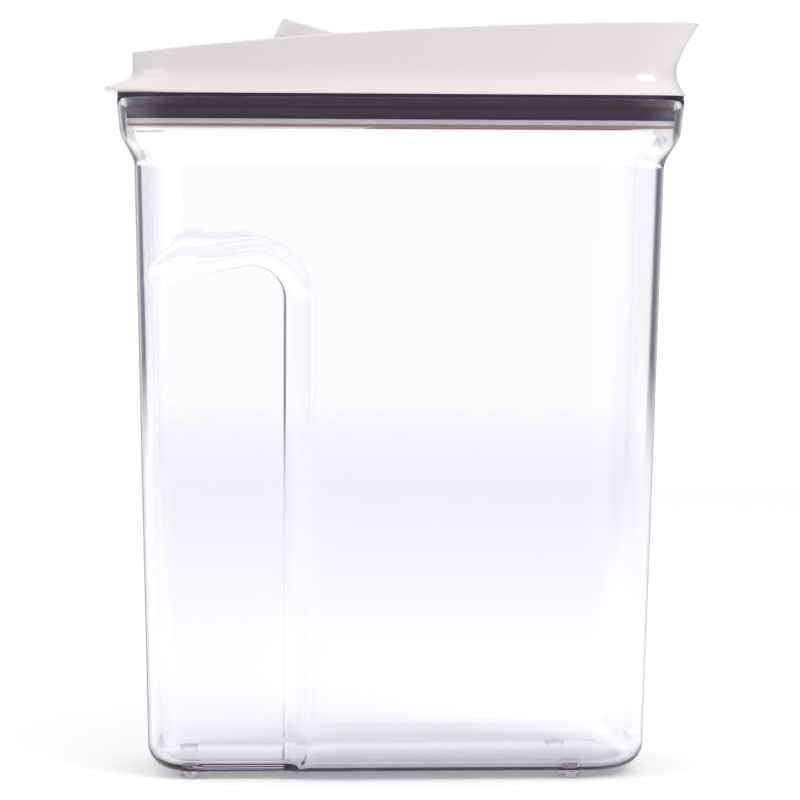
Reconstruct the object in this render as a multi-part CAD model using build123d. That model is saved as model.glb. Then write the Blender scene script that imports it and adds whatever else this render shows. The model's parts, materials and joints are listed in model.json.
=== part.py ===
"""Flip-top food canister: a clear, slightly tapered container on four bumper feet, closed by a white
lift-off lid with a dark seal. The front of the lid is a pour spout under a hinged flap, which is
opened by pressing the thumb tab behind its hinge.

Frame: millimetres, +Z up, +X towards the pour spout, origin on the resting plane under the middle.
"""
from build123d import *
import math
import os

# ---- container ---------------------------------------------------------------------------------------
FOOT_DROP = 3.0  # the feet hold the base this far off the table
SHOULDER_Z = 250.5  # the straight walls end here
RIM_Z = 266.5  # top of the S-shaped shoulder
MOUTH_Z = 279.0  # the rim's top edge
BASE_HALF_LENGTH = 102.7
SHOULDER_HALF_LENGTH = 108.65
RIM_HALF_LENGTH = 114.75
MOUTH_HALF_LENGTH = 116.0
LENGTH_OVER_WIDTH = 62.0  # half length minus half width, the same at every height
CORNER_RADIUS = 25.0
WALL = 2.6
FLOOR = 3.2
BASE_ROUND = 10.0  # rounding where the walls turn into the base
SHOULDER_STEPS = 6

# ---- grip recess in both long walls ------------------------------------------------------------------
GRIP_DEPTH = 7.0
GRIP_FRONT_X = -45.0  # foot of the step at the front of the recess
GRIP_TOP_Z = 216.0  # foot of the step along the top, at the front corner
GRIP_TOP_FALL = 11.0  # degrees that the top falls towards the rear
GRIP_CORNER = 16.0
GRIP_STEP_ANGLE = 37.0  # slope of the step, from square to the wall
GRIP_TOOL_REACH = 14.0  # how far outside the wall the cutting tool ends

# ---- feet --------------------------------------------------------------------------------------------
FOOT_RADIUS = 4.2
FOOT_FLAT_RADIUS = 2.6
FOOT_SEAT_DEPTH = 0.8
REAR_FOOT_X = -85.5
FRONT_FOOT_X = 71.0
REAR_FOOT_Y = 25.0
FRONT_FOOT_Y = 30.0

# ---- lid shell: its outline at each height -----------------------------------------------------------
FLANGE_Z = 280.4  # underside of the lid's flange
LIP_TIP_Z = 281.9  # the rear finger lip is longest here
FLARE_LOW_Z = 288.8  # the wall starts to spread into the flange here
WAIST_Z = 291.5  # the wall starts to lean outwards here
LID_TOP_Z = 310.0  # at the spout's tip
LID_REAR = 109.7  # rear wall at the waist
LID_FRONT = 112.4  # front wall at the waist
LID_HALF_WIDTH = 50.5  # side walls at the waist
LIFT_LIP = 11.7  # finger lip behind the rear wall
FLANGE_REACH = 4.2
FLANGE_OVERHANG = 0.3  # past the rim, at the flange's underside
FLANGE_CURVE = 1.6  # power of the flange's hollow curve
LIP_CURVE = 1.4  # power that hollows the lip's S-shaped upper side
SPOUT_REACH = 9.3
SIDE_FLARE = 3.2
SPOUT_CURVE = 1.3  # power of the spout's outward curve
LID_CORNER = 20.5
LID_EDGE_ROUND = 0.6
CROWN_RADIUS = 2000.0  # the top is part of a very large cylinder across the lid
LID_LOW_LEVELS = (281.0, 281.6, 282.3, 283.3, 284.4, 285.6, 287.0)
LID_HIGH_LEVELS = (288.8, 291.5, 294.5, 297.5, 300.5, 303.5, 306.5, 309.5, 312.5)

# ---- lid shell: walls, tray, trough and thumb well ---------------------------------------------------
LID_WALL = 2.2
FLANGE_PLATE = 1.6
MOUTH_OPENING = 110.9  # half length of the hole in the flange that takes the frame
REAR_NOTCH_X = -112.5
REAR_NOTCH_Z = 284.2
TRAY_DEPTH = 7.0  # the tray that the flap lies in, below the crown
TRAY_SKIN = 1.6
DECK_END_X = -42.4  # the fixed deck ends here
TROUGH_RADIUS = 9.2
WELL_RADIUS = 20.8
WELL_HALF_WIDTH = 17.5
WELL_FRONT_X = -30.5
PORT_INSET = 8.6  # pour port's edge, in from the lid's outline
PORT_REAR_X = -12.0
PORT_CORNER = 12.0

# ---- flap and its hinge ------------------------------------------------------------------------------
HINGE_X = -33.0
HINGE_Z = 298.3
PIN_RADIUS = 1.5
PIN_RUNNING_GAP = 0.05
PIN_PRESS_GAP = 0.01
PIN_INNER_Y = 43.8
PIN_OUTER_Y = 50.1
PIN_BLIND_Y = 50.2
EAR_RADIUS = 5.0
EAR_INNER_Y = 44.2
EAR_OUTER_Y = 47.5
EAR_ZONE = 6.0  # the flap is as narrow as its ears up to this far in front of the hinge
BOSS_INNER_Y = 47.9
BOSS_RADIUS = 3.6
FLAP_REAR_X = -40.0
FLAP_GAP = 0.6
FLAP_SINK = 0.3  # the flap's top lies this far below the lid's edge
FLAP_SKIN = 2.1
FLAP_SKIRT = 1.8
FLAP_SKIRT_DEPTH = 6.6
FLAP_EDGE_ROUND = 0.5
TAB_FRONT = (-22.0, 304.4)  # x, z where the tab's slope leaves the flap
TAB_PEAK = (-48.0, 311.6)
TAB_HEEL = (-52.2, 302.7)
TAB_FOOT = (-40.0, 300.4)
TAB_TOE = (-27.0, 301.5)
TAB_HALF_WIDTH = 16.0
TAB_SKIN = 1.8
TAB_ROUND = 0.8

# ---- flap's liner and seal ---------------------------------------------------------------------------
LINER_INSET = 4.8
LINER_SKIN = 1.7
LINER_REAR_X = -18.6
LINER_CORNER = 14.0
FLAP_SEAL_EDGE = 0.4  # in from the liner's edge
FLAP_SEAL_WIDTH = 3.0
FLAP_SEAL_HEIGHT = 2.45
GLUE_GAP = 0.02

# ---- lid frame and the dark seal ---------------------------------------------------------------------
FRAME_BOTTOM_Z = 267.0
FRAME_FOOT_TOP_Z = 270.2
FRAME_TOP_Z = 283.4
FRAME_HALF_LENGTH = 110.6
FRAME_FOOT_HALF_LENGTH = 111.3
FRAME_SKIN = 1.8
FRAME_BEVEL = 0.4
FRAME_GAP = 0.2
PORT_FOOT_FRONT_X = 101.0
PORT_FOOT_HALF_WIDTH = 41.5
HOOK_XS = (-80.0, -5.0, 70.0)
HOOK_LENGTH = 10.0
HOOK_REACH = 0.9
HOOK_HEIGHT = 1.2
SEAL_BAND = 1.0
SEAL_FLANGE_HALF_LENGTH = 115.5
SEAL_GAP = 0.05
SEAL_LIP_GAP = 0.3
SEAL_LIP_HEIGHT = 2.6
SEAL_LIP_TOPS = (278.2, 274.4)

FAR = 400.0  # larger than the whole object
DRAFT = math.atan2(SHOULDER_HALF_LENGTH - BASE_HALF_LENGTH, SHOULDER_Z - FOOT_DROP - BASE_ROUND)


# ---- helpers -----------------------------------------------------------------------------------------
def rounded(z, rear, front, half_width, radius):
    """A rounded rectangle at height z, from x = -rear to x = front."""
    outline = RectangleRounded(front + rear, 2 * half_width, radius)
    return Plane.XY.offset(z) * Pos((front - rear) / 2, 0) * outline


def block(x_low=-FAR, x_high=FAR, y_half=FAR, z_low=-FAR, z_high=FAR):
    """A block that fills what lies between these limits."""
    middle = Pos((x_low + x_high) / 2, 0, (z_low + z_high) / 2)
    return middle * Box(x_high - x_low, 2 * y_half, z_high - z_low)


def both_sides(solid):
    """The solid and its mirror image across the middle plane."""
    return [solid, mirror(solid, about=Plane.XZ)]


def across(radius, y_low, y_high, x=HINGE_X, z=HINGE_Z):
    """A cylinder along Y from y_low to y_high, about the hinge line or another x and z."""
    middle = Pos(x, (y_low + y_high) / 2, z)
    return middle * Rot(90, 0, 0) * Cylinder(radius, y_high - y_low)


def crown(depth):
    """Everything below the lid's crowned surface, or below a layer under it."""
    return across(CROWN_RADIUS - depth, -FAR, FAR, LID_FRONT + SPOUT_REACH, LID_TOP_Z - CROWN_RADIUS)


def layer(solid, top, bottom):
    """The part of a solid between two depths under the crown."""
    return (solid & crown(top)) - crown(bottom)


def round_crown_edges(shape, depth, radius):
    """Rounds every edge that lies on the crowned surface, or on a layer under it."""
    whole = shape.solid()

    def off_layer(point):
        reach = math.hypot(point.X - LID_FRONT - SPOUT_REACH, point.Z - LID_TOP_Z + CROWN_RADIUS)
        return abs(reach - CROWN_RADIUS + depth)

    on_layer = [e for e in whole.edges() if max(off_layer(e @ t) for t in (0, 0.5, 1)) < 0.01]
    return whole.fillet(radius, on_layer)


def smooth_step(t):
    """Goes from 0 to 1 with level ends."""
    t = min(1.0, max(0.0, t))
    return t * t * (3 - 2 * t)


# ---- container ---------------------------------------------------------------------------------------
def vessel_half_length(z):
    """Half length of the container's outside at height z, above the base's rounding."""
    if z <= SHOULDER_Z:
        return SHOULDER_HALF_LENGTH - (SHOULDER_Z - z) * math.tan(DRAFT)
    if z <= RIM_Z:
        rise = smooth_step((z - SHOULDER_Z) / (RIM_Z - SHOULDER_Z))
        return SHOULDER_HALF_LENGTH + (RIM_HALF_LENGTH - SHOULDER_HALF_LENGTH) * rise
    return RIM_HALF_LENGTH + (MOUTH_HALF_LENGTH - RIM_HALF_LENGTH) * (z - RIM_Z) / (MOUTH_Z - RIM_Z)


def vessel_section(z, inset, half_length=None):
    """The container's outline at height z, moved in by inset."""
    half = (half_length or vessel_half_length(z)) - inset
    return rounded(z, half, half, half - LENGTH_OVER_WIDTH, CORNER_RADIUS - inset)


def vessel(inset, bottom, rounding, top):
    """The solid inside the container's outline: rounded base, straight walls, shoulder and rim."""
    start = bottom + rounding
    sections = []
    for degrees in (0, 22.5, 45, 67.5, 90):
        angle = math.radians(degrees)
        z = start - rounding * math.cos(angle)
        curve_inset = inset + rounding * (1 - math.sin(angle))
        sections.append(vessel_section(z, curve_inset, vessel_half_length(start)))
    base = loft(sections)
    walls = loft([vessel_section(start, inset), vessel_section(SHOULDER_Z, inset)], ruled=True)
    steps = [SHOULDER_Z + (RIM_Z - SHOULDER_Z) * i / SHOULDER_STEPS for i in range(SHOULDER_STEPS + 1)]
    shoulder = loft([vessel_section(z, inset) for z in steps])
    rim = loft([vessel_section(RIM_Z, inset), vessel_section(top, inset)], ruled=True)
    return base + walls + shoulder + rim


def grip_outline(plane, grow):
    """The recess's outline on a plane along the wall: x runs rearwards and y runs up."""
    wall_z = FOOT_DROP + BASE_ROUND
    front = -GRIP_FRONT_X - grow
    top = GRIP_TOP_Z - wall_z + grow / math.cos(math.radians(GRIP_TOP_FALL))
    rear = front + FAR / 2
    fall = (rear - front) * math.tan(math.radians(GRIP_TOP_FALL))
    below = -FAR / 8
    points = [(front, below), (front, top), (rear, top - fall), (rear, below)]
    outline = make_face(Polyline(points, close=True))
    corner = outline.vertices().filter_by(lambda v: abs(v.X - front) < 1 and abs(v.Y - top) < 1)
    return plane * fillet(corner, GRIP_CORNER + grow)


def grip_tool(extra):
    """What the grip recess removes from the +Y wall; extra grows it by the wall's thickness."""
    wall_z = FOOT_DROP + BASE_ROUND
    wall_y = vessel_half_length(wall_z) - LENGTH_OVER_WIDTH
    outward = (0, math.cos(DRAFT), -math.sin(DRAFT))
    plane = Plane(origin=(0, wall_y, wall_z), x_dir=(-1, 0, 0), z_dir=outward)
    height = GRIP_DEPTH + extra + GRIP_TOOL_REACH
    spread = height * math.tan(math.radians(GRIP_STEP_ANGLE))
    inner = grip_outline(plane.offset(-GRIP_DEPTH - extra), extra)
    outer = grip_outline(plane.offset(GRIP_TOOL_REACH), extra + spread)
    return loft([inner, outer], ruled=True)


def foot():
    """A clear bumper foot with a domed side and a small flat to stand on."""
    top = FOOT_DROP + FOOT_SEAT_DEPTH
    bulge = FOOT_RADIUS - FOOT_FLAT_RADIUS
    outline = Polyline((FOOT_FLAT_RADIUS, 0), (0, 0), (0, top), (FOOT_RADIUS, top), (FOOT_RADIUS, bulge))
    dome = RadiusArc((FOOT_RADIUS, bulge), (FOOT_FLAT_RADIUS, 0), bulge)
    return revolve(Plane.XZ * make_face(outline + dome), axis=Axis.Z)


def foot_places():
    """Name and place of each foot; left is the -Y side, as seen when facing the spout."""
    return {
        "foot_rear_left": (REAR_FOOT_X, -REAR_FOOT_Y),
        "foot_rear_right": (REAR_FOOT_X, REAR_FOOT_Y),
        "foot_front_left": (FRONT_FOOT_X, -FRONT_FOOT_Y),
        "foot_front_right": (FRONT_FOOT_X, FRONT_FOOT_Y),
    }


def container():
    """The clear one-piece container, with its grip recesses and foot pockets."""
    outside = vessel(0, FOOT_DROP, BASE_ROUND, MOUTH_Z)
    inside = vessel(WALL, FOOT_DROP + FLOOR, BASE_ROUND - WALL, MOUTH_Z + 1)
    for tool in both_sides(grip_tool(0)):
        outside -= tool
    for tool in both_sides(grip_tool(WALL)):
        inside -= tool
    body = outside - inside
    for x, y in foot_places().values():
        body -= Pos(x, y, FOOT_DROP + FOOT_SEAT_DEPTH / 2) * Cylinder(FOOT_RADIUS, FOOT_SEAT_DEPTH)
    return body


# ---- lid shell ---------------------------------------------------------------------------------------
def lid_section(z, inset):
    """The lid's outline at height z, moved in by inset."""
    lean = max(0.0, (z - WAIST_Z) / (LID_TOP_Z - WAIST_Z)) ** SPOUT_CURVE
    spread = max(0.0, (FLARE_LOW_Z - z) / (FLARE_LOW_Z - FLANGE_Z)) ** FLANGE_CURVE
    lip = smooth_step((FLARE_LOW_Z - z) / (FLARE_LOW_Z - LIP_TIP_Z)) ** LIP_CURVE
    if z < LIP_TIP_Z:
        lip -= (LIP_TIP_Z - z) / LIFT_LIP
    rear = LID_REAR + LIFT_LIP * lip - inset
    front = LID_FRONT + SPOUT_REACH * lean + FLANGE_REACH * spread - inset
    half_width = LID_HALF_WIDTH + SIDE_FLARE * lean + FLANGE_REACH * spread - inset
    radius = LID_CORNER + half_width - LID_HALF_WIDTH
    return rounded(z, rear, front, half_width, radius)


def lid_solid(inset):
    """The solid inside the lid's outline, without its crowned top."""
    return loft([lid_section(z, inset) for z in LID_LOW_LEVELS + LID_HIGH_LEVELS])


def mouth_section(z, half_length):
    """An outline that follows the container's mouth, at another size."""
    inset = MOUTH_HALF_LENGTH - half_length
    return rounded(z, half_length, half_length, half_length - LENGTH_OVER_WIDTH, CORNER_RADIUS - inset)


def mouth_plate(half_length, z_low, z_high):
    """A plate that follows the container's mouth."""
    return extrude(mouth_section(z_low, half_length), z_high - z_low)


def port_solid(inset, rear_x, corner):
    """What lies inside the lid's outline in front of rear_x, with rounded rear corners."""
    half_width = LID_HALF_WIDTH + SIDE_FLARE / 2 - inset
    column = rounded(WAIST_Z, -rear_x, LID_FRONT + FAR / 4, half_width, corner)
    return lid_solid(inset) & extrude(column, FAR / 8)


def lid_shell():
    """The lid's outer shell: walls, deck, flap tray, hinge trough, thumb well and flange."""
    underside = mouth_section(FLANGE_Z, MOUTH_HALF_LENGTH + FLANGE_OVERHANG)
    flange = loft([underside, lid_section(LID_LOW_LEVELS[0], 0)], ruled=True)
    outside = (lid_solid(0) & crown(0)) + flange
    plate_top = FLANGE_Z + FLANGE_PLATE
    inside = lid_solid(LID_WALL)
    upper = inside & block(x_low=LID_WALL - LID_REAR, z_low=REAR_NOTCH_Z)
    lower = inside & block(x_low=REAR_NOTCH_X, z_low=plate_top, z_high=REAR_NOTCH_Z)
    well_half = WELL_HALF_WIDTH + TRAY_SKIN
    well_cup = across(WELL_RADIUS + TRAY_SKIN, -well_half, well_half)
    well_cup &= block(x_high=WELL_FRONT_X + TRAY_SKIN)
    skins = across(TROUGH_RADIUS + TRAY_SKIN, -FAR, FAR) + well_cup
    under_deck = upper & crown(LID_WALL) & block(x_high=DECK_END_X - TRAY_SKIN)
    under_tray = upper & crown(TRAY_DEPTH + TRAY_SKIN)
    cavity = (under_deck + under_tray + lower) - skins
    tray = (inside & block(x_low=DECK_END_X)) - crown(TRAY_DEPTH)
    trough = across(TROUGH_RADIUS, -FAR, FAR) & inside
    well = across(WELL_RADIUS, -WELL_HALF_WIDTH, WELL_HALF_WIDTH) & block(x_high=WELL_FRONT_X)
    port = port_solid(PORT_INSET, PORT_REAR_X, PORT_CORNER)
    shell = outside - cavity - mouth_plate(MOUTH_OPENING, FLANGE_Z - 1, plate_top)
    shell += well_cup & block(z_high=HINGE_Z - TROUGH_RADIUS)
    shell -= tray + trough + well + port
    hinge_wall = lid_solid(LID_WALL / 2)
    for boss in both_sides(across(BOSS_RADIUS, BOSS_INNER_Y, LID_HALF_WIDTH + SIDE_FLARE) & hinge_wall):
        shell += boss
    for bore in both_sides(across(PIN_RADIUS + PIN_PRESS_GAP, BOSS_INNER_Y - 1, PIN_BLIND_Y)):
        shell -= bore
    return round_crown_edges(shell, 0, LID_EDGE_ROUND)


# ---- flap --------------------------------------------------------------------------------------------
def tab():
    """The thumb tab: a hollow wedge that rises behind the hinge, open underneath."""
    points = [TAB_FRONT, TAB_PEAK, TAB_HEEL, TAB_FOOT, TAB_TOE]
    side = make_face(Plane.XZ * Polyline(points, close=True))
    wedge = extrude(side, TAB_HALF_WIDTH, both=True).solid()
    raised = [e for e in wedge.edges() if e.center().X < HINGE_X and e.center().Z > TAB_HEEL[1] - 1]
    wedge = wedge.fillet(TAB_ROUND, raised)
    hollow = extrude(offset(side, -TAB_SKIN), TAB_HALF_WIDTH - TAB_SKIN, both=True)
    return wedge, hollow + Pos(0, 0, -2 * TAB_SKIN) * hollow


def flap():
    """The pour flap with its skirt, hinge ears and thumb tab."""
    behind = block(x_low=FLAP_REAR_X)
    body = lid_solid(LID_WALL + FLAP_GAP) & behind
    core = lid_solid(LID_WALL + FLAP_GAP + FLAP_SKIRT)
    core &= block(x_low=FLAP_REAR_X + FLAP_SKIRT)
    made = layer(body, FLAP_SINK, FLAP_SKIRT_DEPTH) - (core & crown(FLAP_SINK + FLAP_SKIN))
    made -= block(x_high=HINGE_X, y_half=TAB_HALF_WIDTH - TAB_SKIN, z_high=TAB_FOOT[1])
    made -= block(x_high=HINGE_X + EAR_ZONE) - block(y_half=EAR_OUTER_Y)
    made = round_crown_edges(made, FLAP_SINK, FLAP_EDGE_ROUND)
    for ear in both_sides(across(EAR_RADIUS, EAR_INNER_Y, EAR_OUTER_Y) & crown(FLAP_SINK)):
        made += ear
    wedge, hollow = tab()
    made = (made + wedge) - hollow
    for bore in both_sides(across(PIN_RADIUS + PIN_RUNNING_GAP, EAR_INNER_Y - 1, EAR_OUTER_Y + 1)):
        made -= bore
    return made


def flap_liner():
    """The plate under the flap that holds its seal."""
    top = FLAP_SINK + FLAP_SKIN + GLUE_GAP
    return layer(port_solid(LINER_INSET, LINER_REAR_X, LINER_CORNER), top, top + LINER_SKIN)


def flap_seal():
    """The soft loop that presses on the tray round the pour port."""
    outer_inset = LINER_INSET + FLAP_SEAL_EDGE
    inner_inset = outer_inset + FLAP_SEAL_WIDTH
    outer = port_solid(outer_inset, LINER_REAR_X + FLAP_SEAL_EDGE, LINER_CORNER - FLAP_SEAL_EDGE)
    inner_rear = LINER_REAR_X + FLAP_SEAL_EDGE + FLAP_SEAL_WIDTH
    inner = port_solid(inner_inset, inner_rear, LINER_CORNER - FLAP_SEAL_EDGE - FLAP_SEAL_WIDTH)
    top = FLAP_SINK + FLAP_SKIN + LINER_SKIN + 2 * GLUE_GAP
    return layer(outer - inner, top, top + FLAP_SEAL_HEIGHT)


def hinge_pin():
    """The pin on the +Y side, pressed into the shell's boss."""
    return across(PIN_RADIUS, PIN_INNER_Y, PIN_OUTER_Y)


# ---- lid frame and its seal --------------------------------------------------------------------------
def port_funnel(grow):
    """The funnel from the frame's floor to the tray, grown by its wall's thickness."""
    top = lid_section(LID_TOP_Z - TRAY_DEPTH, PORT_INSET).bounding_box()
    rear = grow - PORT_REAR_X
    corner = PORT_CORNER + grow
    front = PORT_FOOT_FRONT_X + grow
    foot_outline = rounded(FRAME_BOTTOM_Z - 1, rear, front, PORT_FOOT_HALF_WIDTH + grow, corner)
    top_outline = rounded(LID_TOP_Z, rear, top.max.X + grow, top.max.Y + grow, corner)
    return loft([foot_outline, top_outline], ruled=True)


def frame():
    """The lid's inner frame: a tray with a funnel up to the pour port, hooked over the flange."""
    foot_plate = mouth_plate(FRAME_FOOT_HALF_LENGTH, FRAME_BOTTOM_Z, FRAME_FOOT_TOP_Z)
    foot_plate = chamfer(foot_plate.faces().sort_by(Axis.Z)[0].edges(), FRAME_BEVEL)
    made = foot_plate + mouth_plate(FRAME_HALF_LENGTH, FRAME_FOOT_TOP_Z, FRAME_TOP_Z)
    hook_y = FRAME_HALF_LENGTH - LENGTH_OVER_WIDTH + HOOK_REACH
    for x in HOOK_XS:
        hook = Pos(x, 0, FRAME_TOP_Z - HOOK_HEIGHT / 2) * Box(HOOK_LENGTH, 2 * hook_y, HOOK_HEIGHT)
        made += hook
    made -= mouth_plate(FRAME_HALF_LENGTH - FRAME_SKIN, FRAME_BOTTOM_Z + FRAME_SKIN, FRAME_TOP_Z + 1)
    under_tray = crown(TRAY_DEPTH + TRAY_SKIN + FRAME_GAP) & block(z_low=FRAME_BOTTOM_Z)
    made += port_funnel(FRAME_SKIN) & under_tray
    return made - port_funnel(0)


def seal():
    """The lid's dark seal: a band with a flange over the rim and two lips against the wall."""
    band = FRAME_HALF_LENGTH + SEAL_BAND
    made = mouth_plate(band, FRAME_FOOT_TOP_Z + SEAL_GAP, FLANGE_Z - SEAL_GAP)
    made += mouth_plate(SEAL_FLANGE_HALF_LENGTH, MOUTH_Z + SEAL_GAP, FLANGE_Z - SEAL_GAP)
    for top in SEAL_LIP_TOPS:
        reach = vessel_half_length(top) - WALL - SEAL_LIP_GAP
        made += loft([mouth_section(top - SEAL_LIP_HEIGHT, band), mouth_section(top, reach)], ruled=True)
    return made - mouth_plate(FRAME_HALF_LENGTH + SEAL_GAP, FRAME_BOTTOM_Z, FLANGE_Z + 1)


def all_parts():
    """Every sub-part by name."""
    parts = {"container_body": container()}
    for name, (x, y) in foot_places().items():
        parts[name] = Pos(x, y, 0) * foot()
    pin_right, pin_left = both_sides(hinge_pin())
    parts["lid_shell"] = lid_shell()
    parts["lid_frame"] = frame()
    parts["lid_seal"] = seal()
    parts["pour_flap"] = flap()
    parts["flap_liner"] = flap_liner()
    parts["flap_seal"] = flap_seal()
    parts["hinge_pin_left"] = pin_left
    parts["hinge_pin_right"] = pin_right
    return parts


os.makedirs("parts", exist_ok=True)
for name, part in all_parts().items():
    export_step(part, f"parts/{name}.step")
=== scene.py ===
import json
import math

import bmesh
import bpy
import numpy as np
from mathutils import Matrix, Vector


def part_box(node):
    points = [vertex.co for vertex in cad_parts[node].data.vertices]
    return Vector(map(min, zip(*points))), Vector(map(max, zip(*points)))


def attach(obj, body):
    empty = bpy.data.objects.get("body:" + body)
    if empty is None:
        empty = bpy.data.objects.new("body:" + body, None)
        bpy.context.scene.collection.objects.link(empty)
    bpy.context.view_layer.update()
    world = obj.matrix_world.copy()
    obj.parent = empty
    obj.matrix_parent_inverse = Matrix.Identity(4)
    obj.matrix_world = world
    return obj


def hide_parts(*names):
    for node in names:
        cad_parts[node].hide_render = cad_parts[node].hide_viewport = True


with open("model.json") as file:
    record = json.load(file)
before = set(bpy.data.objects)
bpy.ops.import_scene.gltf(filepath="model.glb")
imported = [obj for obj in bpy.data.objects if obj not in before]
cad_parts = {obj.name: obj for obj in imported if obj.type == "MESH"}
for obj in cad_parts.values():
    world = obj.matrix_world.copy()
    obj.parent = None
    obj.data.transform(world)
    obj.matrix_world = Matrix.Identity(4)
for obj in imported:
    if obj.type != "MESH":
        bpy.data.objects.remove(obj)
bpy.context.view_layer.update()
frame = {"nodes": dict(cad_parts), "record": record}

MM = 0.001


# ---- camera ------------------------------------------------------------------------------------------
CAMERA_TARGET = Vector((2.0, 0.0, 153.9)) * MM
CAMERA_DISTANCE = 1.6
CAMERA_YAW = math.radians(4.1)
CAMERA_HEIGHT_ANGLE = math.radians(3.73)
CAMERA_ROLL = math.radians(0.3)
CAMERA_LENS = 172.8  # on a 36 mm sensor


def make_camera():
    """A long lens a little to the rear of the front side, slightly above the middle."""
    back = Vector((
        -math.sin(CAMERA_YAW) * math.cos(CAMERA_HEIGHT_ANGLE),
        -math.cos(CAMERA_YAW) * math.cos(CAMERA_HEIGHT_ANGLE),
        math.sin(CAMERA_HEIGHT_ANGLE),
    ))
    right = Vector((0, 0, 1)).cross(back).normalized()
    up = back.cross(right)
    rolled_right = right * math.cos(CAMERA_ROLL) + up * math.sin(CAMERA_ROLL)
    rolled_up = up * math.cos(CAMERA_ROLL) - right * math.sin(CAMERA_ROLL)
    data = bpy.data.cameras.new("camera")
    data.lens = CAMERA_LENS
    data.sensor_width = 36.0
    data.clip_end = 100.0
    camera = bpy.data.objects.new("camera", data)
    turned = Matrix((rolled_right, rolled_up, back)).transposed().to_4x4()
    camera.matrix_world = Matrix.Translation(CAMERA_TARGET + back * CAMERA_DISTANCE) @ turned
    bpy.context.scene.collection.objects.link(camera)
    bpy.context.scene.camera = camera


make_camera()


# ---- materials ---------------------------------------------------------------------------------------
CLEAR_MOTTLE = 35.0  # noise scales: the number of blotches or grains in each metre
WHITE_MOTTLE = 22.0
WHITE_GRAIN = 900.0
RUBBER_GRAIN = 700.0
STEEL_GRAIN = 1500.0
PAINTED_SHADE_EDGE = (1.2, 1.4)  # mm above the lid frame's lowest edge, where its painted shade ends
# the colour of the painted shade along that edge, warmed like a painted reflection
PAINTED_SHADE_COLOR = (0.50, 0.34, 0.31)
UNDERSIDE = (-0.95, -0.85)  # the normal's upward share, from a face that looks straight down


class Nodes:
    """The node tree of a material or a world, built one line at a time."""

    def __init__(self, owner):
        owner.use_nodes = True
        self.owner = owner
        self.tree = owner.node_tree

    def add(self, kind, **values):
        node = self.tree.nodes.new(kind)
        for key, value in values.items():
            if hasattr(node, key):
                setattr(node, key, value)
            else:
                node.inputs[key.replace("_", " ")].default_value = value
        return node

    def link(self, source, target):
        self.tree.links.new(source, target)

    def place(self):
        return self.add("ShaderNodeTexCoord").outputs["Object"]

    def noise(self, scale, detail=3.0, vector=None):
        node = self.add("ShaderNodeTexNoise", Scale=scale, Detail=detail)
        self.link(vector or self.place(), node.inputs["Vector"])
        return node.outputs["Fac"]

    def spread(self, value, low, high, from_low=0.3, from_high=0.7):
        node = self.add("ShaderNodeMapRange")
        node.inputs["From Min"].default_value = from_low
        node.inputs["From Max"].default_value = from_high
        node.inputs["To Min"].default_value = low
        node.inputs["To Max"].default_value = high
        self.link(value, node.inputs["Value"])
        return node.outputs["Result"]

    def bump(self, height, strength, distance):
        node = self.add("ShaderNodeBump", Strength=strength, Distance=distance)
        self.link(height, node.inputs["Height"])
        return node.outputs["Normal"]


def new_material(name, color, rough):
    """A material with a Principled surface, as its nodes and that shader."""
    nodes = Nodes(bpy.data.materials.new(name))
    shader = nodes.tree.nodes["Principled BSDF"]
    shader.inputs["Base Color"].default_value = (*color, 1.0)
    shader.inputs["Roughness"].default_value = rough
    return nodes, shader


def clear_plastic(name, tint, density, rough):
    """Clear plastic whose thick parts take on a tint."""
    nodes, shader = new_material(name, (1.0, 1.0, 1.0), rough)
    shader.inputs["Transmission Weight"].default_value = 1.0
    shader.inputs["IOR"].default_value = 1.49
    mottle = nodes.noise(CLEAR_MOTTLE, 2.0)
    nodes.link(nodes.spread(mottle, rough * 0.5, rough * 1.5), shader.inputs["Roughness"])
    absorb = nodes.add("ShaderNodeVolumeAbsorption", Density=density)
    absorb.inputs["Color"].default_value = (*tint, 1.0)
    nodes.link(absorb.outputs["Volume"], nodes.tree.nodes["Material Output"].inputs["Volume"])
    return nodes.owner


def white_plastic(name, color, rough):
    nodes, shader = new_material(name, color, rough)
    shader.inputs["IOR"].default_value = 1.5
    mottle = nodes.noise(WHITE_MOTTLE, 2.0)
    nodes.link(nodes.spread(mottle, rough * 0.8, rough * 1.3), shader.inputs["Roughness"])
    nodes.link(nodes.bump(nodes.noise(WHITE_GRAIN, 2.0), 0.05, 0.0002), shader.inputs["Normal"])
    return nodes.owner


def plastic_with_painted_edge_shade(name, color, rough):
    """White plastic with painted shade along the lid frame's lowest edge, warm like a painted reflection,
    though not on its underside.
    """
    nodes = Nodes(white_plastic(name, color, rough))
    shader = nodes.tree.nodes["Principled BSDF"]
    height = nodes.add("ShaderNodeSeparateXYZ")
    nodes.link(nodes.place(), height.inputs["Vector"])
    edge_low, edge_high = [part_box("lid_frame")[0][2] + level * MM for level in PAINTED_SHADE_EDGE]
    above_edge = nodes.spread(height.outputs["Z"], 0.0, 1.0, edge_low, edge_high)
    facing = nodes.add("ShaderNodeSeparateXYZ")
    nodes.link(nodes.add("ShaderNodeTexCoord").outputs["Normal"], facing.inputs["Vector"])
    underside = nodes.spread(facing.outputs["Z"], 1.0, 0.0, *UNDERSIDE)
    white = nodes.add("ShaderNodeMath", operation="MAXIMUM")
    nodes.link(above_edge, white.inputs[0])
    nodes.link(underside, white.inputs[1])
    # painted shade: the warm dark colour is mixed in below the edge heights, except on faces that look
    # down
    mix = nodes.add("ShaderNodeMix", data_type="RGBA")
    mix.inputs["A"].default_value = (*PAINTED_SHADE_COLOR, 1.0)
    mix.inputs["B"].default_value = (*color, 1.0)
    nodes.link(white.outputs["Value"], mix.inputs["Factor"])
    nodes.link(mix.outputs["Result"], shader.inputs["Base Color"])
    return nodes.owner


def rubber(name, color, rough):
    nodes, shader = new_material(name, color, rough)
    nodes.link(nodes.bump(nodes.noise(RUBBER_GRAIN, 4.0), 0.2, 0.0003), shader.inputs["Normal"])
    return nodes.owner


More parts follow.
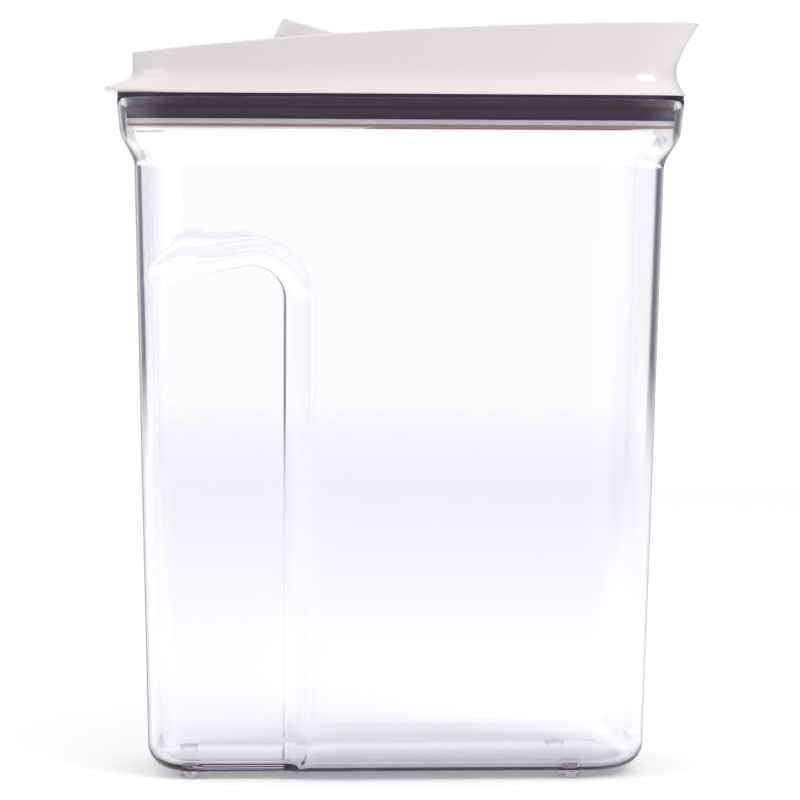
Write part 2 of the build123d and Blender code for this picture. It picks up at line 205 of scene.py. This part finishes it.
def steel(name):
    nodes, shader = new_material(name, (0.6, 0.6, 0.61), 0.3)
    shader.inputs["Metallic"].default_value = 1.0
    nodes.link(nodes.spread(nodes.noise(STEEL_GRAIN), 0.22, 0.38), shader.inputs["Roughness"])
    return nodes.owner


MATERIALS = {
    "clear_body": clear_plastic("clear_body", (0.35, 0.10, 0.55), 12.0, 0.015),
    "clear_foot": clear_plastic("clear_foot", (0.35, 0.20, 0.45), 80.0, 0.04),
    "white_gloss": white_plastic("white_gloss", (0.685, 0.648, 0.65), 0.12),
    "white_satin": plastic_with_painted_edge_shade("white_satin", (0.94, 0.92, 0.93), 0.3),
    "dark_seal": rubber("dark_seal", (0.026, 0.005, 0.038), 0.4),
    "pale_seal": rubber("pale_seal", (0.7, 0.7, 0.69), 0.5),
    "pin_steel": steel("pin_steel"),
}

slots = {part["node"]: part["material_slot"] for part in frame["record"]["subparts"]}
for node, obj in frame["nodes"].items():
    obj.data.materials.clear()
    obj.data.materials.append(MATERIALS[slots[node]])


# ---- container: its walls in millimetres -------------------------------------------------------------
body_low, body_high = [Vector(corner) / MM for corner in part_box("container_body")]
BASE_Z = body_low.z
MOUTH_Z = body_high.z
MOUTH_HALF_LENGTH = body_high.x
LENGTH_OVER_WIDTH = body_high.x - body_high.y  # the same at every height
SHOULDER_Z = 250.5
RIM_Z = 266.5
SHOULDER_HALF_LENGTH = 108.65
RIM_HALF_LENGTH = 114.75
DRAFT = 0.02505  # how much the half length grows for each unit of height
CORNER_RADIUS = 25.0
WALL = 2.6
FLOOR = 3.2
BASE_ROUND = 10.0
RIM_ROUND = 0.8

GRIP_DEPTH = 7.0
GRIP_FRONT_X = -45.0
GRIP_TOP_Z = 216.0
GRIP_FALL = math.tan(math.radians(11.0))
GRIP_CORNER = 16.0
GRIP_STEP = 5.3  # width of the slope between the recess and the wall
GRIP_SOFT = 0.2  # share of that slope that is rounded at each end
GRIP_BLEND = 6.0  # how softly the recess meets the rear corner
GRIP_RUNOUT = 5.0  # how much wider the slope is at the rear corner
GRIP_RUNOUT_X = -72.0
GRIP_RUNOUT_LENGTH = 24.0
GRIP_ROWS = (196.0, 226.0)  # the fine rows of the mesh, which follow the recess's sloping top
LEVEL_ROWS = (100.0, 246.0)  # below and above these heights the rows are level
RECESS_ROUND_SHARE = 0.4  # the base's rounding in the recess, as a share of the one beside it

LONG_SIDE_END = 70.0  # up to here the long sides' points have fixed places
FINE_BEYOND = 9.0  # how far past the recess's front the fine spacing goes on
SIDE_POINTS = (7, 43, 12)  # along a long side: behind the recess's front corner, across it, and beyond
SIDE_SHARES = (0.33, 0.67)  # where the points between those and the rounded corners lie
FRONT_CORNER_POINTS = 15
REAR_CORNER_POINTS = 25
END_POINTS = 7
BASE_ROWS = 13
WALL_ROWS = (15, 46, 6, 17, 4)  # to the fine rows, through them, to the shoulder, over it, up the rim
RIM_ROWS = 5
END_SHARE = 0.9  # how far the base's flat faces are drawn in from their edges


def smooth_step(t):
    t = np.clip(t, 0.0, 1.0)
    return t * t * (3 - 2 * t)


def half_length(z):
    """Half length of the outside at each height, above the base's rounding."""
    wall = SHOULDER_HALF_LENGTH - (SHOULDER_Z - z) * DRAFT
    rise = smooth_step((z - SHOULDER_Z) / (RIM_Z - SHOULDER_Z))
    shoulder = SHOULDER_HALF_LENGTH + (RIM_HALF_LENGTH - SHOULDER_HALF_LENGTH) * rise
    share = (z - RIM_Z) / (MOUTH_Z - RIM_Z)
    rim = RIM_HALF_LENGTH + (MOUTH_HALF_LENGTH - RIM_HALF_LENGTH) * share
    return np.where(z <= SHOULDER_Z, wall, np.where(z <= RIM_Z, shoulder, rim))


def stations():
    """Points round the outline, each with its fixed x, its shares of what is left of each half side,
    and the direction in which the wall faces there."""
    fine_end = GRIP_FRONT_X + FINE_BEYOND
    coarse_count, fine_count, plain_count = SIDE_POINTS
    coarse = np.linspace(-LONG_SIDE_END, GRIP_FRONT_X - GRIP_CORNER, coarse_count)[:-1]
    fine = np.linspace(GRIP_FRONT_X - GRIP_CORNER, fine_end, fine_count)[:-1]
    plain = np.linspace(fine_end, LONG_SIDE_END, plain_count)
    side = [(-LONG_SIDE_END, -share) for share in SIDE_SHARES[::-1]]
    side += [(x, 0.0) for x in (*coarse, *fine, *plain)]
    side += [(LONG_SIDE_END, share) for share in SIDE_SHARES]
    across = np.linspace(-1, 1, END_POINTS)[1:-1]
    points = []
    for x, reach in side:
        points.append((x, reach, -1.0, -90.0))
    for angle in np.linspace(-90, 0, FRONT_CORNER_POINTS):
        points.append((LONG_SIDE_END, 1.0, -1.0, angle))
    for share in across:
        points.append((LONG_SIDE_END, 1.0, share, 0.0))
    for angle in np.linspace(0, 90, FRONT_CORNER_POINTS):
        points.append((LONG_SIDE_END, 1.0, 1.0, angle))
    for x, reach in side[::-1]:
        points.append((x, reach, 1.0, 90.0))
    for angle in np.linspace(90, 180, REAR_CORNER_POINTS):
        points.append((-LONG_SIDE_END, -1.0, 1.0, angle))
    for share in across[::-1]:
        points.append((-LONG_SIDE_END, -1.0, share, 180.0))
    for angle in np.linspace(180, 270, REAR_CORNER_POINTS):
        points.append((-LONG_SIDE_END, -1.0, -1.0, angle))
    return np.array(points).T


def recess_distance(x, z):
    """How far a point of the long side lies outside the recess's floor, along the wall."""
    slope = math.atan(GRIP_FALL)
    middle_x = GRIP_FRONT_X - GRIP_CORNER
    middle_z = GRIP_TOP_Z - GRIP_FALL * GRIP_CORNER - GRIP_CORNER / math.cos(slope)
    right = x - middle_x
    up = z - middle_z
    over_top = up * math.cos(slope) - right * math.sin(slope)
    round_part = (up > 0) & (right * math.cos(slope) + up * math.sin(slope) > 0)
    return np.where(round_part, np.hypot(right, up), np.maximum(right, over_top)) - GRIP_CORNER


def soft_min(a, b, blend):
    """The lower of two values, with the change from one to the other rounded."""
    share = np.maximum(blend - np.abs(a - b), 0.0) / np.maximum(blend, 1e-9)
    return np.minimum(a, b) - share * share * blend / 4


def recess_mask(distance, x):
    """1 on the recess's floor, 0 on the plain wall, and a slope with rounded ends between."""
    t = distance / (GRIP_STEP + GRIP_RUNOUT * smooth_step((GRIP_RUNOUT_X - x) / GRIP_RUNOUT_LENGTH))
    low = soft_min(t, np.ones_like(t), 2 * GRIP_SOFT)
    return np.clip(1 + soft_min(-low, np.zeros_like(t), 2 * GRIP_SOFT), 0.0, 1.0)


def bottom_round(z, bottom, radius):
    """How far a wall has turned inwards at each height, near the bottom."""
    drop = np.clip((bottom + radius - z) / radius, 0.0, 1.0)
    return radius * (1 - np.sqrt(1 - drop * drop))


def ring(row_z, inset, wall_inset, bottom, rounding):
    """One row of points round the wall. wall_inset is 0 outside and the wall's thickness inside."""
    fixed_x, reach_x, share_y, degrees = STATIONS
    angle = np.radians(degrees)
    rough_x = fixed_x + reach_x * (half_length(np.array(row_z)) - CORNER_RADIUS - LONG_SIDE_END)
    rows_low, rows_high = GRIP_ROWS
    level_low, level_high = LEVEL_ROWS
    follow = smooth_step((row_z - level_low) / (rows_low - level_low))
    follow *= smooth_step((level_high - row_z) / (level_high - rows_high))
    z = row_z - GRIP_FALL * np.maximum(0.0, GRIP_FRONT_X - rough_x) * follow
    half = half_length(np.maximum(z, bottom + rounding))
    radius = CORNER_RADIUS - inset
    x = fixed_x + reach_x * (half - CORNER_RADIUS - LONG_SIDE_END) + radius * np.cos(angle)
    y = share_y * (half - LENGTH_OVER_WIDTH - CORNER_RADIUS) + radius * np.sin(angle)
    mask = recess_mask(recess_distance(x, z) - wall_inset, x)
    turned_in = bottom_round(z, bottom, rounding * RECESS_ROUND_SHARE)
    recess_y = half - LENGTH_OVER_WIDTH - wall_inset - GRIP_DEPTH * mask - turned_in
    y = np.sign(y) * soft_min(np.abs(y), recess_y, GRIP_BLEND * mask)
    return np.stack([x, y, z], axis=1)


def wall_rings(wall_inset, bottom, rounding, top):
    """All rows of one face of the wall, from the base to just below the rim's edge."""
    start = bottom + rounding
    rings = []
    for angle in np.radians(np.linspace(0, 90, BASE_ROWS)):
        inset = wall_inset + rounding * (1 - math.sin(angle))
        rings.append(ring(start - rounding * math.cos(angle), inset, wall_inset, bottom, rounding))
    levels = (start, *GRIP_ROWS, SHOULDER_Z, RIM_Z, top)
    for low, high, count in zip(levels, levels[1:], WALL_ROWS):
        for z in np.linspace(low, high, count)[1:]:
            rings.append(ring(z, wall_inset, wall_inset, bottom, rounding))
    return rings


def rim_rings():
    """The rounded top edge, from the outside over to the inside."""
    rings = []
    for angle in np.radians(np.linspace(0, 90, RIM_ROWS)[1:]):
        inset = RIM_ROUND * (1 - math.cos(angle))
        rings.append(ring(MOUTH_Z - RIM_ROUND * (1 - math.sin(angle)), inset, 0.0, BASE_Z, BASE_ROUND))
    for angle in np.radians(np.linspace(90, 0, RIM_ROWS)[:-1]):
        inset = WALL - RIM_ROUND * (1 - math.cos(angle))
        rings.append(ring(MOUTH_Z - RIM_ROUND * (1 - math.sin(angle)), inset, WALL, BASE_Z, BASE_ROUND))
    return rings


def drawn_in(row, share):
    """A flat copy of a row, drawn in towards the middle."""
    return row * np.array([share, share, 1.0])


def mesh_object(name, vertices, faces, slot):
    """A smooth closed mesh, from millimetres, with its faces turned outwards."""
    mesh = bpy.data.meshes.new(name)
    mesh.from_pydata([tuple(v) for v in np.asarray(vertices) * MM], [], faces)
    worker = bmesh.new()
    worker.from_mesh(mesh)
    bmesh.ops.recalc_face_normals(worker, faces=worker.faces)
    for face in worker.faces:
        face.smooth = True
    worker.to_mesh(mesh)
    worker.free()
    obj = bpy.data.objects.new(name, mesh)
    bpy.context.scene.collection.objects.link(obj)
    mesh.materials.append(MATERIALS[slot])
    return obj


def ring_faces(ring_count, points):
    """Four-sided faces between rows of points, and one flat face at each end."""
    faces = [tuple(range(points))]
    for i in range(ring_count - 1):
        for j in range(points):
            a = i * points + j
            b = i * points + (j + 1) % points
            faces.append((a, b, b + points, a + points))
    last = (ring_count - 1) * points
    faces.append(tuple(range(last, last + points)))
    return faces


def make_container():
    outside = wall_rings(0.0, BASE_Z, BASE_ROUND, MOUTH_Z - RIM_ROUND)
    inside = wall_rings(WALL, BASE_Z + FLOOR, BASE_ROUND - WALL, MOUTH_Z - RIM_ROUND)
    rings = [drawn_in(outside[0], END_SHARE), *outside, *rim_rings()]
    rings += [*inside[::-1], drawn_in(inside[0], END_SHARE)]
    faces = ring_faces(len(rings), len(rings[0]))
    body = mesh_object("container_clear", np.concatenate(rings), faces, "clear_body")
    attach(body, "container")
    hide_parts("container_body")


STATIONS = stations()
make_container()


# ---- feet --------------------------------------------------------------------------------------------
FOOT_FLAT_RADIUS = 1.8
FOOT_SEAT = 0.3  # how far the foot's top is let into the base
FOOT_STEPS = 40
FOOT_INNER_SHARE = 0.5  # the flat ends' inner circles, as a share of the outer ones
FOOT_ROUND_ROWS = 9


def foot_profile(radius):
    """The foot's outline from the middle of its underside to the middle of its top, as (r, z)."""
    bulge = radius - FOOT_FLAT_RADIUS
    outline = [(FOOT_FLAT_RADIUS * FOOT_INNER_SHARE, 0.0)]
    for angle in np.radians(np.linspace(0, 90, FOOT_ROUND_ROWS)):
        outline.append((FOOT_FLAT_RADIUS + bulge * math.sin(angle), bulge * (1 - math.cos(angle))))
    outline.append((radius, BASE_Z - FOOT_SEAT))
    outline.append((radius, BASE_Z + FOOT_SEAT))
    outline.append((radius * FOOT_INNER_SHARE, BASE_Z + FOOT_SEAT))
    return outline


def make_foot(node):
    low, high = [Vector(corner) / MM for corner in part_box(node)]
    middle = (low + high) / 2
    outline = foot_profile((high.x - low.x) / 2)
    vertices = []
    for radius, z in outline:
        for step in range(FOOT_STEPS):
            angle = math.tau * step / FOOT_STEPS
            vertices.append((middle.x + radius * math.cos(angle), middle.y + radius * math.sin(angle), z))
    foot = mesh_object(f"{node}_clear", vertices, ring_faces(len(outline), FOOT_STEPS), "clear_foot")
    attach(foot, "container")
    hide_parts(node)


for foot_node in [name for name in frame["nodes"] if name.startswith("foot_")]:
    make_foot(foot_node)


# ---- floor and light ---------------------------------------------------------------------------------
FLOOR_RADIUS = 2.4
FLOOR_STEPS = 64
FLOOR_FADE = (1.3, 2.3)  # the floor fades into the surroundings between these distances
FLOOR_DIM = (-0.9, -0.12)  # y at which the floor is dimmest, and at which it is fully white
FLOOR_WHITE = (0.3, 0.9)  # the floor's tone at those two places
FLOOR_GLOW = (-0.4, -0.1)  # y between which the floor starts to shine a little by itself
FLOOR_SHINE = 0.09


def make_floor():
    """A white disc without a visible edge, dimmer on the camera's side so that the front stays clear."""
    angles = [math.tau * step / FLOOR_STEPS for step in range(FLOOR_STEPS)]
    corners = [(FLOOR_RADIUS * math.cos(a), FLOOR_RADIUS * math.sin(a), 0) for a in angles]
    mesh = bpy.data.meshes.new("floor")
    mesh.from_pydata(corners, [], [tuple(range(FLOOR_STEPS))])
    floor = bpy.data.objects.new("floor", mesh)
    bpy.context.scene.collection.objects.link(floor)
    nodes, shader = new_material("floor", (1.0, 1.0, 1.0), 0.9)
    shader.inputs["Specular IOR Level"].default_value = 0.0
    parts = nodes.add("ShaderNodeSeparateXYZ")
    nodes.link(nodes.place(), parts.inputs["Vector"])
    white = nodes.spread(parts.outputs["Y"], *FLOOR_WHITE, *FLOOR_DIM)
    shine = nodes.spread(parts.outputs["Y"], 0.0, FLOOR_SHINE, *FLOOR_GLOW)
    tone = nodes.add("ShaderNodeCombineColor")
    for channel in ("Red", "Green", "Blue"):
        nodes.link(white, tone.inputs[channel])
    nodes.link(tone.outputs["Color"], shader.inputs["Base Color"])
    shader.inputs["Emission Color"].default_value = (1.0, 1.0, 1.0, 1.0)
    nodes.link(shine, shader.inputs["Emission Strength"])
    length = nodes.add("ShaderNodeVectorMath", operation="LENGTH")
    nodes.link(nodes.place(), length.inputs[0])
    clear = nodes.add("ShaderNodeBsdfTransparent")
    mix = nodes.add("ShaderNodeMixShader")
    nodes.link(nodes.spread(length.outputs["Value"], 0.0, 1.0, *FLOOR_FADE), mix.inputs["Fac"])
    nodes.link(shader.outputs["BSDF"], mix.inputs[1])
    nodes.link(clear.outputs["BSDF"], mix.inputs[2])
    nodes.link(mix.outputs["Shader"], nodes.tree.nodes["Material Output"].inputs["Surface"])
    mesh.materials.append(nodes.owner)


def area_light(name, place, aim, size, power):
    """A rectangular light, in metres and watts, turned towards a point."""
    data = bpy.data.lights.new(name, "AREA")
    data.shape = "RECTANGLE"
    data.size, data.size_y = size
    data.energy = power
    light = bpy.data.objects.new(name, data)
    light.location = place
    light.rotation_euler = (Vector(aim) - Vector(place)).to_track_quat("-Z", "Y").to_euler()
    bpy.context.scene.collection.objects.link(light)


KEY_LIGHT = {"place": (0.5, -0.55, 0.6), "aim": (0.08, 0, 0.29), "size": (0.5, 0.25), "power": 2.8}
FILL_LIGHT = {"place": (-1.3, -0.35, 0.75), "aim": (-0.1, 0, 0.29), "size": (1.4, 0.7), "power": 7.0}
WORLD_LEVELS = (  # (direction's share towards the back, colour) from the camera's side to the back
    (-1.0, (0.35, 0.35, 0.35)),
    (-0.93, (0.35, 0.35, 0.35)),
    (-0.82, (0.77, 0.77, 0.77)),
    (-0.36, (0.77, 0.77, 0.77)),
    (-0.1, (0.20, 0.19, 0.25)),
    (0.86, (0.20, 0.19, 0.25)),
    (0.95, (1.12, 1.12, 1.12)),
)
WORLD_PEAK = 1.4
WORLD_TOP = (1.04, 1.04, 1.06)
WORLD_TOP_FROM = (0.2, 0.6)  # how steeply upwards the overhead light starts and is full


def make_world():
    """White behind the object and overhead, soft flanks in front, dim at both ends and at the camera."""
    world = bpy.data.worlds.new("studio")
    nodes = Nodes(world)
    background = nodes.tree.nodes["Background"]
    background.inputs["Strength"].default_value = WORLD_PEAK
    direction = nodes.add("ShaderNodeSeparateXYZ")
    nodes.link(nodes.add("ShaderNodeTexCoord").outputs["Generated"], direction.inputs["Vector"])
    ramp = nodes.add("ShaderNodeValToRGB")
    ramp.color_ramp.interpolation = "EASE"
    steps = ramp.color_ramp.elements
    for i, (place, color) in enumerate(WORLD_LEVELS):
        step = steps[i] if i < len(steps) else steps.new((place + 1) / 2)
        step.position = (place + 1) / 2
        step.color = (*[channel / WORLD_PEAK for channel in color], 1.0)
    nodes.link(nodes.spread(direction.outputs["Y"], 0.0, 1.0, -1.0, 1.0), ramp.inputs["Fac"])
    mix = nodes.add("ShaderNodeMix", data_type="RGBA")
    mix.inputs["B"].default_value = (*[channel / WORLD_PEAK for channel in WORLD_TOP], 1.0)
    nodes.link(nodes.spread(direction.outputs["Z"], 0.0, 1.0, *WORLD_TOP_FROM), mix.inputs["Factor"])
    nodes.link(ramp.outputs["Color"], mix.inputs["A"])
    nodes.link(mix.outputs["Result"], background.inputs["Color"])
    bpy.context.scene.world = world


make_floor()
make_world()
area_light("key", **KEY_LIGHT)
area_light("fill", **FILL_LIGHT)
bpy.context.scene.view_settings.view_transform = "Standard"
